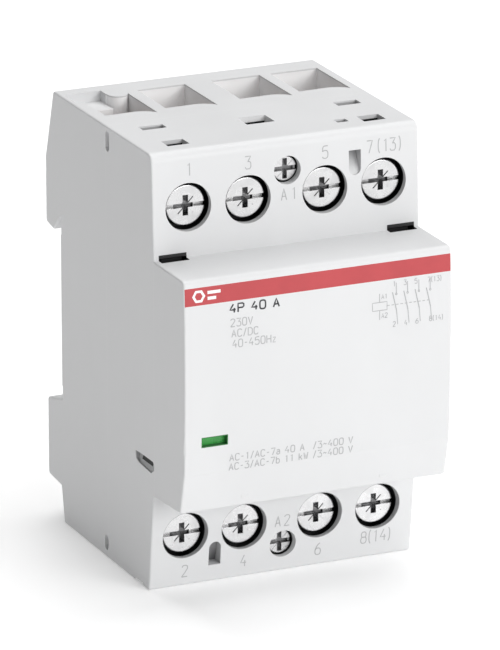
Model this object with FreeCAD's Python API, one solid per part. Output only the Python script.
import FreeCAD, Part
import math
import os

os.makedirs("parts", exist_ok=True)

# A four-pole modular contactor for a 35 mm rail.
# Frame: origin at the middle of the face that rests on the rail, +X right, -Y to the front, +Z up.
# Every length is in millimetres.

# ---- driving dimensions ----
HALF_W = 26.9            # half of the three-module width
HALF_H = 42.5            # half of the height
HUMP_H = 22.5            # half height of the raised front
BASE_SEAM = -22.3        # Y of the joint between base and terminal housing
COVER_SEAM = -44.35      # Y of the joint between terminal housing and front cover
EDGE_R = 0.35            # rounding of the two side outlines

POLE_X = (-19.7, -7.75, 7.75, 19.7)
TERM_Z = 31.9            # height of the upper main screws above the middle
COIL_Z = 36.45           # the same for the upper coil screw
ROW_SHIFT = FreeCAD.Vector(-0.25, 0, -0.3)      # lower main clamps, against the upper ones turned over
COIL_SHIFT = (FreeCAD.Vector(0.25, 0, 0), FreeCAD.Vector(0.15, 0, -0.55))  # upper and lower coil clamp
POCKETS = ((-12.2, -2.4), (3.0, 13.0), (15.2, 25.0))
FIRST_POCKET = (-24.4, -14.6)

STROKE = 4.0             # travel of armature and contact carrier
CONTACT_GAP = 3.1        # open gap between the silver tips
CAGE_TRAVEL = 4.8        # six turns of a 0.8 mm thread
COIL_CAGE_TRAVEL = 1.5   # three turns of a 0.5 mm thread
FLAG_TRAVEL = 2.2        # travel of the indicator flag
THREAD_CLEAR = 0.05      # radial clearance of a screw in its cage
SCREW_FRONT = (-42.54, -40.91)       # Y of the upper and lower main screw heads
RIM_BACK = (-42.79, -41.15)           # Y of the back of the thin rim round them
COIL_FRONT = (-42.44, -40.5)         # Y of the two coil screw heads
COIL_SCREW_END = -34.0

CORE_FACE = -22.0        # Y of the pole faces of the fixed core
ARM_BACK = -26.1         # Y of the armature's rear face when open
YOKE_BACK = -30.0
YOKE_FRONT = -33.3
SILL = -36.8             # Y of the sill that carries a moving bridge
FIXED_TIP = SILL + 0.7 + CONTACT_GAP


# ---- helpers ----
def box(x0, x1, y0, y1, z0, z1):
    return Part.makeBox(x1 - x0, y1 - y0, z1 - z0, FreeCAD.Vector(x0, y0, z0))


def cyl_y(x, z, r, y0, y1):
    return Part.makeCylinder(r, y1 - y0, FreeCAD.Vector(x, y0, z), FreeCAD.Vector(0, 1, 0))


def cyl_x(y, z, r, x0, x1):
    return Part.makeCylinder(r, x1 - x0, FreeCAD.Vector(x0, y, z), FreeCAD.Vector(1, 0, 0))


def cyl_z(x, y, r, z0, z1):
    return Part.makeCylinder(r, z1 - z0, FreeCAD.Vector(x, y, z0), FreeCAD.Vector(0, 0, 1))


def prism_x(points, x0, x1):
    """Polygon of (y, z) points, drawn out along X."""
    corners = [FreeCAD.Vector(x0, y, z) for y, z in points]
    face = Part.Face(Part.makePolygon(corners + [corners[0]]))
    return face.extrude(FreeCAD.Vector(x1 - x0, 0, 0))


def fuse(shapes):
    first = shapes[0]
    if len(shapes) > 1:
        first = first.fuse(list(shapes[1:]))
    return first.removeSplitter()


def cut(shape, tools):
    return shape.cut(list(tools))


def turned(shape):
    """The same shape turned half a turn about the Y axis."""
    copy = shape.copy()
    copy.rotate(FreeCAD.Vector(0, 0, 0), FreeCAD.Vector(0, 1, 0), 180)
    return copy


def both(shapes):
    """Shapes for the upper half, and their turned twins for the lower half."""
    return list(shapes) + [turned(s) for s in shapes]


def moved(shape, shift):
    copy = shape.copy()
    copy.translate(shift)
    return copy


def lower_clamp(shape):
    """The same shape in the lower row of main clamps."""
    return moved(turned(shape), ROW_SHIFT)


def lower_contact(shape):
    """The same shape in the lower row, moved sideways only."""
    return moved(turned(shape), FreeCAD.Vector(ROW_SHIFT.x, 0, 0))


def coil_pair(shape):
    """The same shape at the upper and at the lower coil clamp."""
    return [moved(shape, COIL_SHIFT[0]), moved(turned(shape), COIL_SHIFT[1])]


def mirrored(shapes):
    return list(shapes) + [s.mirror(FreeCAD.Vector(0, 0, 0), FreeCAD.Vector(1, 0, 0)) for s in shapes]


def export(name, shapes):
    shape = shapes[0] if len(shapes) == 1 else Part.makeCompound(list(shapes))
    shape.exportStep("parts/" + name + ".step")


def helix(x, y, z, along, length, radius, wire, turns):
    """Round-wire compression spring with its axis along Y or Z, starting at the given point."""
    path = Part.makeHelix((length - wire) / turns, length - wire, radius)
    ring = Part.Wire(Part.makeCircle(wire / 2, FreeCAD.Vector(radius, 0, 0), FreeCAD.Vector(0, 1, 0)))
    spring = Part.Wire(path.Edges).makePipeShell([ring], True, True)
    spring.translate(FreeCAD.Vector(0, 0, wire / 2))
    if along == "y":
        spring.rotate(FreeCAD.Vector(0, 0, 0), FreeCAD.Vector(1, 0, 0), -90)
    spring.translate(FreeCAD.Vector(x, y, z))
    return spring


def round_corner(before, corner, after, r):
    """Tangent points and middle of the arc that rounds one corner of an outline."""
    a = (before - corner).normalize()
    b = (after - corner).normalize()
    half = math.acos(a.dot(b)) / 2
    reach = r / math.tan(half)
    middle = (a + b).normalize()
    centre = corner + middle * (r / math.sin(half))
    return corner + a * reach, centre - middle * r, corner + b * reach


def outline(points):
    """Closed wire in the plane X = 0 from (y, z, radius, via) points.

    A radius rounds the corner. via is a point that the stretch to the next corner passes through as an arc.
    """
    count = len(points)
    places = [FreeCAD.Vector(0, p[0], p[1]) for p in points]
    ends = []
    edges = []
    for i in range(count):
        r = points[i][2]
        if r > 0:
            start, middle, stop = round_corner(places[i - 1], places[i], places[(i + 1) % count], r)
            edges.append(Part.Arc(start, middle, stop).toShape())
            ends.append((start, stop))
        else:
            ends.append((places[i], places[i]))
    for i in range(count):
        start = ends[i][1]
        stop = ends[(i + 1) % count][0]
        via = points[i][3]
        if via:
            edges.append(Part.Arc(start, FreeCAD.Vector(0, via[0], via[1]), stop).toShape())
        else:
            edges.append(Part.makeLine(start, stop))
    return Part.Wire(Part.__sortEdges__(edges))


# ---- housing ----
SIDE = (
    (COVER_SEAM, HUMP_H, 0, None),
    (-43.45, HALF_H, 1.8, None),
    (2.95, HALF_H, 0.7, None),
    (7.0, 28.7, 2.5, None),
    (7.0, 15.8, 0.9, None),
    (3.4, 15.2, 0.25, None),
    (0.3, 18.35, 0, None),
    (-0.25, 18.35, 0, None),
    (-0.25, 15.1, 0, None),
    (0.0, 15.1, 0, None),
    (0.0, -15.1, 0, None),
    (-0.25, -15.1, 0, None),
    (-0.25, -17.7, 0, None),
    (7.0, -19.3, 0.7, None),
    (7.0, -34.85, 0.8, None),
    (0.65, -35.4, 0, None),
    (-0.65, -HALF_H, 0.5, None),
    (-41.5, -HALF_H, 0.6, None),
    (-43.75, -23.25, 0, None),
    (-56.1, -HUMP_H, 0.35, None),
    (-57.95, -14.8, 0, (-58.45, 2.6)),
    (-58.05, 21.3, 0, (-57.7, 22.15)),
    (-56.85, HUMP_H, 0, None),
)


def outer_body():
    """The whole outside of the housing as one solid, with its side outlines rounded."""
    wire = outline(SIDE)
    wire.translate(FreeCAD.Vector(-HALF_W, 0, 0))
    solid = Part.Face(wire).extrude(FreeCAD.Vector(2 * HALF_W, 0, 0))
    rims = [e for e in solid.Edges if abs(abs(e.CenterOfMass.x) - HALF_W) < 0.001]
    return solid.makeFillet(EDGE_R, rims)


def pocket(x0, x1):
    """Wire entry with a lip that sweeps forward at its right end."""
    corner = FreeCAD.Vector(x0, -16.3, 36.0)
    bend = FreeCAD.Vector(x1 - 3.9, -16.1, 36.0)
    tip = FreeCAD.Vector(x1, -18.2, 36.0)
    rear = [FreeCAD.Vector(x1, -2.9, 36.0), FreeCAD.Vector(x0, -2.9, 36.0)]
    edges = [
        Part.makeLine(corner, bend),
        Part.Arc(bend, FreeCAD.Vector(x1 - 1.5, -16.8, 36.0), tip).toShape(),
        Part.makeLine(tip, rear[0]),
        Part.makeLine(rear[0], rear[1]),
        Part.makeLine(rear[1], corner),
    ]
    return Part.Face(Part.Wire(edges)).extrude(FreeCAD.Vector(0, 0, 8))


def first_pocket():
    """The end pole's wire entry, with a shelf in one rear corner and a round boss in the other."""
    x0, x1 = FIRST_POCKET
    shelf = box(x0 - 1, -18.6, -6.4, 0, 35, 45)
    boss = cyl_z(-16.5, -3.6, 1.95, 35, 45)
    back = box(-18.45, x1 + 1, -3.6, 0, 35, 45)
    deep = cut(pocket(x0, x1), [shelf, boss, back])
    shallow = box(-26.0, -18.6, -6.5, -0.4, 40.5, 45)
    return [deep, shallow]


def side_slot(y, z, length, depth):
    """Narrow upright slot with round ends in the left wall."""
    r = 0.9
    tools = [
        cyl_x(y, z - length / 2 + r, r, -HALF_W - 1, -HALF_W + depth),
        cyl_x(y, z + length / 2 - r, r, -HALF_W - 1, -HALF_W + depth),
        box(-HALF_W - 1, -HALF_W + depth, y - r, y + r, z - length / 2 + r, z + length / 2 - r),
    ]
    return fuse(tools)


def side_slots():
    left = [side_slot(-23.1, 39.7, 4.0, 1.0), side_slot(-21.5, -39.6, 2.9, 1.0)]
    return left + [s.mirror(FreeCAD.Vector(0, 0, 0), FreeCAD.Vector(1, 0, 0)) for s in left]


def clip_channel():
    """Guide for the rail clip in the lower rear block: a groove with two lips at its mouth."""
    return [
        box(-10.2, 10.2, 1.2, 5.6, -45, -16),
        box(-8.6, 8.6, 5.5, 8, -45, -16),
    ]


def base_ribs():
    """Inside the magnet chamber: seats for the core, the bobbin and the rectifier board."""
    ribs = [
        box(20.0, 24.5, -20.0, -2.4, 2.0, 4.0),
        box(20.0, 24.5, -20.0, -2.4, -4.0, -2.0),
        box(14.4, 24.5, -21.7, -2.4, 9.0, 11.0),
        box(14.4, 24.5, -21.7, -2.4, -11.0, -9.0),
        box(11.0, 13.0, -19.5, -2.4, -21.6, -19.8),
    ]
    return mirrored(ribs)


def base_housing(outer):
    body = outer.common(box(-30, 30, BASE_SEAM, 10, -45, 45))
    chamber = [box(p - 4.4, p + 4.4, -30, -3.8, 23.6, 37.0) for p in POLE_X]
    entries = [pocket(x0, x1) for x0, x1 in POCKETS] + first_pocket()
    tools = [box(-24.4, 24.4, -30, -2.5, -21.5, 21.5)]
    tools += chamber + [lower_clamp(s) for s in chamber] + both(entries)
    tools += clip_channel() + side_slots()
    body = cut(body, tools)
    spring_peg = box(-1.3, 1.3, 1.0, 4.6, -33.9, -32.9)
    return fuse([body, spring_peg] + base_ribs())


def driver_slot(round_end, square_end):
    """Slot beside a screw with one round end. Its floor slopes between the two given Y values."""
    slot = fuse([box(12.7, 15.15, -46, -38, 35.1, 38.6), cyl_y(13.925, 35.1, 1.225, -46, -38)])
    ramp = prism_x(((-46, 33), (round_end, 33.6), (square_end, 38.9), (-46, 39.5)), 12, 16)
    return slot.common(ramp)


def coil_chambers():
    """Rooms for the coil cages and their screws, strips and wires."""
    tools = both([box(-1.8, 1.8, -33.7, -32.3, 20.0, 39.6), box(-2.8, 2.8, -32.5, -28.0, 39.0, 45.0)])
    tools += coil_pair(box(-3.5, 3.5, -38.2, -26.9, 33.0, 39.6))
    tools += coil_pair(cyl_y(0, COIL_Z, 2.7, -46, -38.9))
    return tools + coil_pair(cyl_y(0, COIL_Z, 1.8, -39, -37))


def screw_bores(x, rim_back):
    """Bore under a main screw: a thin rim in the face, a wider space, then a neck for the shank."""
    return [
        cyl_y(x, TERM_Z, 4.57, -46, -38.3),
        cyl_y(x, TERM_Z, 5.3, rim_back, -38.3),
        cyl_y(x, TERM_Z, 2.9, -39, -20),
        box(x - 4.4, x + 4.4, -25.0, -20, 23.6, 37.0),
        box(x - 3.5, x + 3.5, -32.6, -20, 21.0, 25.6),
    ]


def top_slots():
    """Small recesses and holes in the face beside the wire entries."""
    return [
        box(-21.8, -17.0, -28.0, -25.7, 40.6, 45),
        box(17.8, 22.55, -28.1, -25.6, 40.6, 45),
        box(-21.7, -17.4, -39.3, -36.0, 36.0, 45),
        box(17.8, 22.2, -39.5, -35.9, 36.0, 45),
        box(13.0, 15.3, -38.1, -36.2, 41.0, 45),
    ]


def snap_slots(height):
    """Slots through the front face for the cover's tabs."""
    return mirrored([box(20.3, 25.8, -45, -41.6, 21.0, height)])


def left_window():
    """Recess in the left wall where the cover snaps on: a ramp with a narrow slot below its upper edge."""
    points = (
        (-43.6, -16.4), (-39.2, -16.4), (-35.5, -16.6), (-35.8, -18.1),
        (-37.0, -18.6), (-42.8, -18.9), (-44.25, -18.0), (-44.25, -16.9),
    )
    section = ((-28, -19.2), (-26.75, -19.2), (-25.6, -16.0), (-28, -16.0))
    corners = [FreeCAD.Vector(x, -46, z) for x, z in section]
    ramp = Part.Face(Part.makePolygon(corners + [corners[0]])).extrude(FreeCAD.Vector(0, 12, 0))
    gap = ((-44.1, -16.95), (-43.7, -16.4), (-38.9, -16.4), (-38.9, -16.9), (-42.9, -17.3))
    return fuse([prism_x(points, -28, -24.9).common(ramp), prism_x(gap, -28, -24.9)])


def side_notches():
    """Shallow steps in the lower edge of both side walls."""
    points = ((-38.9, -44), (-38.9, -41.85), (-35.2, -41.95), (-34.0, -42.6), (-34.0, -44))
    return mirrored([prism_x(points, -28, -25.5)])


def terminal_housing(outer):
    body = outer.common(box(-30, 30, COVER_SEAM, BASE_SEAM, -45, 45))
    tools = [box(-25.2, 25.2, -50, -20, -21.4, 21.4)]
    tools += coil_chambers() + both(top_slots()) + [left_window(), turned(left_window())]
    tools += [driver_slot(-43.65, -40.8), moved(turned(driver_slot(-40.7, -39.2)), COIL_SHIFT[1])]
    tools += snap_slots(22.85) + [turned(s) for s in snap_slots(23.45)]
    for x in POLE_X:
        tools += screw_bores(x, RIM_BACK[0])
        tools += [lower_clamp(s) for s in screw_bores(x, RIM_BACK[1])]
    tools += side_slots() + side_notches()
    body = cut(body, tools)
    rails = [box(22.4, 25.3, -35.0, BASE_SEAM, z - 0.6, z + 0.6) for z in (-6.8, 6.8)]
    return fuse([body] + mirrored(rails))


def arc_divider():
    """Insert between the poles: three upright walls tied by two bars across the front."""
    walls = [
        box(-14.7, -13.3, COVER_SEAM, -35.0, -21.4, 21.4),
        box(-0.7, 0.7, COVER_SEAM, -35.0, -15.0, 15.0),
        box(13.3, 14.7, COVER_SEAM, -35.0, -21.4, 21.4),
    ]
    bar = box(-13.4, 13.4, COVER_SEAM, -42.6, -15.0, -14.0)
    return fuse(walls + [bar, turned(bar)])


def stripe(outer):
    """Coloured band let into the front cover, 0.3 mm thick and flush with it."""
    band = outer.common(box(-26.7, 26.7, -60, -55, 17.8, 21.15))
    inner = outer.copy()
    inner.translate(FreeCAD.Vector(0, 0.3, 0))
    return band.cut(inner)


def cover_tab(x0, x1):
    """Snap tab that reaches back into the terminal housing's slot."""
    return fuse([box(x0, x1, -46.3, -42.2, 21.0, 21.65), box(x0, x1, -43.4, -42.4, 21.6, 22.4)])


def front_cover(outer, band):
    body = outer.common(box(-30, 30, -60, COVER_SEAM, -HALF_H, HALF_H))
    hollow = box(-25.2, 25.2, -56.4, -40, -20.9, 20.9)
    hollow = cut(hollow, [box(-26, 26, -57, -53.6, -21, -14.0)])
    flag_room = box(-25.2, -17.6, -57.2, -50, -13.9, 3.5)
    window = box(-23.35, -18.35, -60, -50, -9.45, -7.75)
    notches = both(mirrored([box(20.3, 25.8, -45.8, -44.0, 21.7, 24)]))
    body = cut(body, [hollow, flag_room, window, band] + notches)
    guide = box(-17.6, -16.8, -56.6, -55.2, -13.8, 0.0)
    walls = [box(x - 0.7, x + 0.7, -56.6, COVER_SEAM, -21.0, 21.0) for x in (-14.0, 14.0)]
    tabs = both(mirrored([cover_tab(20.8, 25.0)]))
    return fuse([body, guide] + walls + tabs)


# ---- rail clip ----
def rail_clip():
    """Slider that hooks behind the rail's lower edge, with a spring pocket and an eye for a driver."""
    slab = box(-10.0, 10.0, 1.4, 5.4, -34.6, -18.2)
    ridge = box(-8.4, 8.4, 5.0, 6.8, -34.6, -19.4)
    hook = ((1.3, -19.0), (1.3, -15.9), (1.9, -15.3), (2.6, -15.3), (6.4, -18.0), (6.4, -19.6), (3.0, -19.6))
    nose = prism_x(hook, -8.4, 8.4)
    tail = box(-5.5, 5.5, 1.4, 4.4, -40.5, -34.0)
    eye = box(-3.2, 3.2, 0, 8, -39.4, -37.0)
    spring_room = box(-2.7, 2.7, 0, 5.8, -34.0, -23.0)
    return cut(fuse([slab, ridge, nose, tail]), [eye, spring_room])


# ---- magnet ----
def magnet_core():
    """E-shaped stack: a yoke with a centre leg and two outer legs."""
    return fuse([
        box(-20, 20, -7.0, -3.0, -5.9, 5.9),
        box(-5, 5, CORE_FACE, -6.9, -5.9, 5.9),
        box(-20, -15, CORE_FACE, -6.9, -5.9, 5.9),
        box(15, 20, CORE_FACE, -6.9, -5.9, 5.9),
    ])


def core_pads():
    return mirrored([box(10, 18, -3.0, -2.5, -5, 5)])


def coil_bobbin():
    sleeve = box(-6.3, 6.3, -21.7, -7.2, -7.2, 7.2)
    rear = box(-14.4, 14.4, -8.4, -7.2, -16.5, 16.5)
    front = box(-14.4, 14.4, -21.7, -20.5, -16.5, 16.5)
    lugs = [box(-3, 3, -21.7, -20.5, 16.4, 19.0), box(-3, 3, -21.7, -20.5, -19.0, -16.4)]
    return fuse([sleeve, rear, front] + lugs).cut(box(-5.2, 5.2, -25, 0, -6.1, 6.1))


def coil_winding():
    """Copper winding as one rounded block around the bobbin's sleeve."""
    block = box(-13.6, 13.6, -20.5, -8.4, -16.0, 16.0)
    corners = [e for e in block.Edges if abs(e.Vertexes[0].Y - e.Vertexes[1].Y) > 1]
    return block.makeFillet(5.0, corners).cut(box(-6.3, 6.3, -25, 0, -7.2, 7.2))


def coil_leads():
    return mirrored([cyl_z(8.0, -14.0, 0.4, -18.2, -16.0)])


def rectifier_board():
    return box(-13, 13, -19.5, -7.0, -19.8, -18.2)


def rectifier_parts():
    """Four diodes and a round varistor soldered flat on the board."""
    diodes = [box(x - 1.0, x + 1.0, -18.6, -16.2, -18.2, -17.2) for x in (-6, -2.5, 2.5, 6)]
    return diodes + [cyl_z(0, -10.5, 2.2, -18.2, -17.0)]


def coil_strip():
    """Angled tin-plated strip from the coil screw down to the bobbin."""
    upright = box(-1.5, 1.5, -33.4, -32.6, 17.5, 39.0)
    foot = box(-1.5, 1.5, -33.4, -21.7, 17.5, 18.3)
    return fuse([upright, foot])


def armature():
    return box(-20, 20, YOKE_BACK, ARM_BACK, -5.9, 5.9).cut(box(-1.3, 1.3, -29.4, -26.8, -7, 7))


def armature_pin():
    """Flat key that ties the armature to the carrier's two lugs."""
    return box(-1.2, 1.2, -29.3, -26.9, -8.4, 8.4)


# ---- contacts ----
def tower(x):
    """Window that holds one moving bridge and its spring."""
    post = box(x - 3.0, x + 3.0, SILL - 11.2, YOKE_FRONT + 0.1, -3.2, 3.2)
    window = box(x - 2.0, x + 2.0, SILL - 9.8, SILL, -5, 5)
    return post.cut(window)


def contact_carrier():
    yoke = box(-24.0, 24.0, YOKE_FRONT, YOKE_BACK, -6.0, 6.0)
    ears = [box(-3.0, 3.0, YOKE_FRONT, YOKE_BACK, -14.5, 14.5)]
    lugs = [box(-3.0, 3.0, YOKE_BACK - 0.1, -26.5, z - 1.25, z + 1.25) for z in (-7.35, 7.35)]
    cam_pin = cyl_x(-44.0, 0.0, 0.7, -25.0, -22.6)
    body = fuse([yoke, cam_pin] + ears + lugs + [tower(x) for x in POLE_X])
    return body.cut(box(-1.3, 1.3, -29.4, -26.8, -9, 9))


def bridge(x):
    """Moving copper bridge: flat in the middle, stepped up at both ends."""
    plate = box(x - 1.8, x + 1.8, SILL - 1.2, SILL, -14.0, 14.0)
    edges = [e for e in plate.Edges if abs(abs(e.CenterOfMass.z) - 14.0) < 0.01 and e.Length < 2]
    return plate.makeFillet(0.9, edges)


def bridge_tips(x):
    return [cyl_y(x, z, 1.5, SILL, SILL + 0.7) for z in (-12.0, 12.0)]


def contact_springs():
    return [helix(x, SILL - 9.8, 0, "y", 8.6, 1.35, 0.4, 6) for x in POLE_X]


def return_springs():
    return [helix(0, YOKE_BACK, z, "y", 8.3, 2.2, 0.5, 5) for z in (-11.5, 11.5)]


def fixed_contact(x):
    """Copper strip from inside the cage, forward along the chamber floor and in to the silver tip."""
    plate = FIXED_TIP + 0.8
    points = (
        (-14.5, 38.5), (-13.3, 38.5), (-13.3, 24.0), (plate + 1.2, 24.0), (plate + 1.2, 9.5),
        (plate, 9.5), (plate, 25.2), (-14.5, 25.2),
    )
    return prism_x(points, x - 2.8, x + 2.8)


def fixed_tips():
    tips = [cyl_y(x, 12.0, 1.6, FIXED_TIP, FIXED_TIP + 0.8) for x in POLE_X]
    return tips + [lower_contact(t) for t in tips]


# ---- indicator ----
def flag():
    """Indicator plate with a slotted arm that the carrier's pin moves down."""
    plate = box(-24.4, -18.0, -57.1, -56.5, -11.4, -7.4)
    side = (
        (-57.1, -11.4), (-56.5, -11.4), (-44.5, -3.2), (-38.4, 0.4),
        (-38.4, 3.6), (-45.6, 2.6), (-57.1, -3.0),
    )
    arm = prism_x(side, -24.9, -23.9)
    slope = math.atan2(FLAG_TRAVEL, STROKE)
    length = math.hypot(FLAG_TRAVEL, STROKE)
    ends = [cyl_x(0, 0, 0.8, -26, -22), cyl_x(length, 0, 0.8, -26, -22)]
    slot = fuse(ends + [box(-26, -22, 0, length, -0.8, 0.8)])
    slot.rotate(FreeCAD.Vector(0, 0, 0), FreeCAD.Vector(1, 0, 0), math.degrees(slope))
    slot.translate(FreeCAD.Vector(0, -44.0, 0))
    return fuse([plate, arm]).cut(slot)


def flag_red():
    return box(-23.9, -18.0, -57.1, -56.5, -7.4, -4.9)


# ---- terminals ----
def cross_recess(x, z, front, arm, width, deep, slot, slot_deep, reach, mark):
    """Combined driver recess: a cross, a full-width slot and four fine marks, two of them this deep."""
    tools = [
        box(x - width / 2, x + width / 2, front - 1, front + deep, z - arm, z + arm),
        box(x - arm, x + arm, front - 1, front + deep, z - slot / 2, z + slot / 2),
        box(x - reach, x + reach, front - 1, front + slot_deep, z - slot / 2, z + slot / 2),
    ]
    for turn, mark_deep in ((45, 0.08), (135, mark), (225, 0.08), (315, mark)):
        line = box(x + arm * 0.3, x + arm * 1.1, front - 1, front + mark_deep, z - 0.11, z + 0.11)
        line.rotate(FreeCAD.Vector(x, 0, z), FreeCAD.Vector(0, 1, 0), turn)
        tools.append(line)
    return tools


def screw(x, z, front, head_r, head_len, shank_r, length, arm, width, slot, mark):
    """Cheese-head clamp screw with its axis along Y."""
    head = cyl_y(x, z, head_r, front, front + head_len)
    rim = [e for e in head.Edges if len(e.Vertexes) == 1 and abs(e.CenterOfMass.y - front) < 0.01]
    head = head.makeFillet(head_r * 0.08, rim)
    shank = cyl_y(x, z, shank_r, front + head_len - 0.1, front + length)
    tools = cross_recess(x, z, front, arm, width, head_len * 0.62, slot, head_len * 0.42, head_r + 1, mark)
    return cut(fuse([head, shank]), tools)


def main_screw(x, z, front):
    return screw(x, z, front, 3.92, 2.6, 2.5, 26.25, 1.95, 1.1, 0.85, 0.3)


def coil_screw(x, z, front):
    return screw(x, z, front, 2.38, 1.6, 1.5, COIL_SCREW_END - front, 1.95, 0.95, 0.9, 0.08)


def cage(x, z, half_x, half_z, y0, y1, front_wall, rear_wall, side_wall, hole):
    """Box clamp that the screw pulls forward."""
    body = box(x - half_x, x + half_x, y0, y1, z - half_z, z + half_z)
    inner = half_x - side_wall
    room = box(x - inner, x + inner, y0 + front_wall, y1 - rear_wall, z - 20, z + 20)
    return cut(body, [room, cyl_y(x, z, hole, y0 - 1, y0 + front_wall + 1)])


def main_cage(x):
    return cage(x, TERM_Z, 4.0, 4.5, -19.5, -4.7, 2.0, 1.2, 1.0, 2.5 + THREAD_CLEAR)


def coil_cage():
    return cage(0, COIL_Z, 3.2, 3.0, -36.6, -27.3, 1.4, 0.9, 0.8, 1.5 + THREAD_CLEAR)


def build():
    outer = outer_body()
    band = stripe(outer)
    export("base_housing", [base_housing(outer)])
    export("terminal_housing", [terminal_housing(outer)])
    export("arc_divider", [arc_divider()])
    export("front_cover", [front_cover(outer, band)])
    export("front_stripe", [band])
    export("rail_clip", [rail_clip()])
    export("rail_clip_spring", [helix(0, 3.6, -32.9, "z", 9.8, 1.5, 0.5, 6)])
    export("magnet_core", [magnet_core()])
    export("core_pads", core_pads())
    export("coil_bobbin", [coil_bobbin()])
    export("coil_winding", [coil_winding()])
    export("coil_leads", coil_leads())
    export("coil_strips", both([coil_strip()]))
    export("rectifier_board", [rectifier_board()])
    export("rectifier_parts", rectifier_parts())
    export("armature", [armature()])
    export("armature_key", [armature_pin()])
    export("contact_carrier", [contact_carrier()])
    export("return_springs", return_springs())
    export("contact_springs", contact_springs())
    export("fixed_tips", fixed_tips())
    export("indicator_flag", [flag()])
    export("indicator_flag_red", [flag_red()])
    # odd terminals stand in the upper row and even ones below them
    for i, x in enumerate(POLE_X):
        export("bridge_%d" % (i + 1), [bridge(x)])
        export("bridge_tips_%d" % (i + 1), bridge_tips(x))
        export("fixed_contact_%d" % (2 * i + 1), [fixed_contact(x)])
        export("fixed_contact_%d" % (2 * i + 2), [lower_contact(fixed_contact(-x))])
        export("clamp_cage_%d" % (2 * i + 1), [main_cage(x)])
        export("clamp_cage_%d" % (2 * i + 2), [lower_clamp(main_cage(-x))])
        upper = main_screw(x, TERM_Z, SCREW_FRONT[0])
        lower = main_screw(x + ROW_SHIFT.x, ROW_SHIFT.z - TERM_Z, SCREW_FRONT[1])
        export("clamp_screw_%d" % (2 * i + 1), [upper])
        export("clamp_screw_%d" % (2 * i + 2), [lower])
    cages = coil_pair(coil_cage())
    for i, name in enumerate(("a1", "a2")):
        shift = COIL_SHIFT[i]
        z = (COIL_Z, -COIL_Z)[i] + shift.z
        export("coil_cage_" + name, [cages[i]])
        export("coil_screw_" + name, [coil_screw(shift.x, z, COIL_FRONT[i])])


build()
